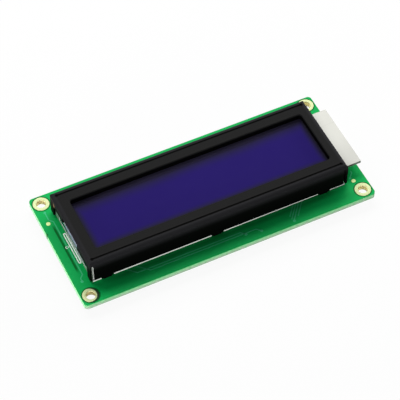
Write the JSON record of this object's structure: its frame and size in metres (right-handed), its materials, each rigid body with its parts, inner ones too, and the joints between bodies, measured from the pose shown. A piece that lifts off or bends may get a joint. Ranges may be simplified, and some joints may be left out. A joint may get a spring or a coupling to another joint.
{
  "type": "character lcd module",
  "caption": "Character display module: green circuit board, black folded metal bezel round a blank blue screen, side backlight tab and gold plated corner holes.",
  "frame": {"origin": "below the centre of the circuit board, on the plane that the rear epoxy caps rest on", "axes": "+X along the long edge towards the backlight tab, +Y towards the header holes, +Z out of the screen"},
  "size_m": [0.08, 0.036, 0.0105],
  "materials": {
    "solder_mask": "glossy green solder mask over glass-epoxy",
    "gold_plate": "thin gold plating",
    "black_paint": "satin black paint on sheet steel",
    "white_plastic": "white moulded plastic",
    "screen_film": "dark blue polarizing film, satin",
    "rear_film": "polarizing film",
    "cell_glass": "clear soda-lime glass with a ground edge",
    "cell_sealant": "epoxy seal",
    "port_resin": "milky cured resin",
    "guide_acrylic": "clear acrylic with a dotted rear face",
    "white_film": "white film",
    "elastomer": "silicone rubber with fine conducting layers",
    "led_board_white": "white solder mask",
    "led_body": "white bodies with a yellow phosphor face",
    "tinned_wire": "tinned wire",
    "solder": "bright solder",
    "black_epoxy": "black epoxy with a low sheen",
    "resistor_ceramic": "black-coated ceramic",
    "capacitor_ceramic": "tan ceramic"
  },
  "bodies": {
    "root": {"pcb": "solder_mask", "mounting_hole_plating": "gold_plate", "header_hole_plating": "gold_plate", "backlight_hole_plating": "gold_plate", "optical_marks": "gold_plate", "display_contacts": "gold_plate", "bezel": "black_paint", "backlight_frame": "white_plastic", "reflector_film": "white_film", "light_guide": "guide_acrylic", "diffuser_film": "white_film", "rear_polarizer": "rear_film", "rear_glass": "cell_glass", "front_glass": "cell_glass", "front_polarizer": "screen_film", "cell_seal": "cell_sealant", "fill_port_seal": "port_resin", "zebra_strip_front": "elastomer", "zebra_strip_back": "elastomer", "led_board": "led_board_white", "led_chips": "led_body", "backlight_pins": "tinned_wire", "backlight_pin_solder": "solder", "controller_blob": "black_epoxy", "driver_blob": "black_epoxy", "chip_resistors": "resistor_ceramic", "chip_capacitors": "capacitor_ceramic", "chip_end_caps": "solder", "solder_lands": "solder", "jumper_pads": "solder"}
  },
  "joints": []
}
